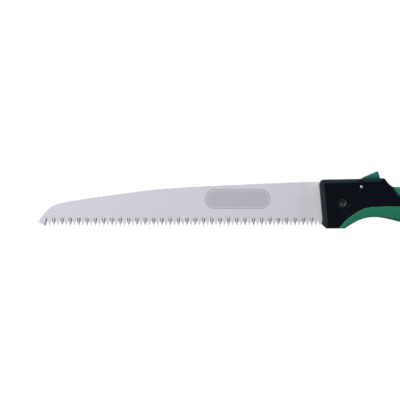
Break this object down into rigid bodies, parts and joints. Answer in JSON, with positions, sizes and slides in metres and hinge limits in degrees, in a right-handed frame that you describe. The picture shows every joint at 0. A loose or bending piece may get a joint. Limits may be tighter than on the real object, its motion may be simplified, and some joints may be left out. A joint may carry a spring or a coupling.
{
  "type": "folding pruning saw",
  "caption": "Folding pruning saw with a toothed steel blade, a two-shell handle with soft grips, a thumb-operated lock lever and a hang hole.",
  "frame": {"origin": "centre of the hang hole at the butt, on the blade's mid-plane", "axes": "+X from the blade's tip towards the butt, +Z from the teeth towards the blade's back, +Y across the saw, away from the side that shows the pivot bolt's head"},
  "size_m": [0.5688, 0.025, 0.1015],
  "materials": {
    "blade_steel": "satin ground",
    "black_plastic": "fine moulded grain",
    "green_grip": "soft-touch matt",
    "green_pad": "satin moulded",
    "spacer_plastic": "matt",
    "black_steel": "black oxide",
    "plain_steel": "turned",
    "bright_steel": "bright",
    "spring_steel": "drawn wire",
    "bronze": "rolled",
    "brass": "turned"
  },
  "bodies": {
    "handle": {"left_shell": "black_plastic", "right_shell": "black_plastic", "left_grip": "green_grip", "right_grip": "green_grip", "spine_spacer": "spacer_plastic", "pivot_bolt": "black_steel", "pivot_nut": "black_steel", "spring_washer": "plain_steel", "pivot_bush": "plain_steel", "left_thrust_washer": "bronze", "right_thrust_washer": "bronze", "lock_pin": "bright_steel", "lever_shims": "plain_steel", "lock_spring": "spring_steel", "handle_screws": "black_steel", "threaded_inserts": "brass", "hang_eyelet": "bright_steel"},
    "blade": {"blade": "blade_steel"},
    "lever": {"lock_lever": "plain_steel", "thumb_pad": "green_pad"}
  },
  "joints": [
    {"name": "blade_fold", "type": "hinge", "parent": "handle", "child": "blade", "pos_m": [-0.2825, 0, 0.058], "axis": [0, -1, 0], "range_deg": [0, 168]},
    {"name": "lock_press", "type": "hinge", "parent": "handle", "child": "lever", "pos_m": [-0.2658, 0, 0.0726], "axis": [0, 1, 0], "range_deg": [0, 8], "stiffness_Nm_per_rad": 0.6, "springref_deg": -11.46, "deforming": ["lock_spring"]}
  ]
}
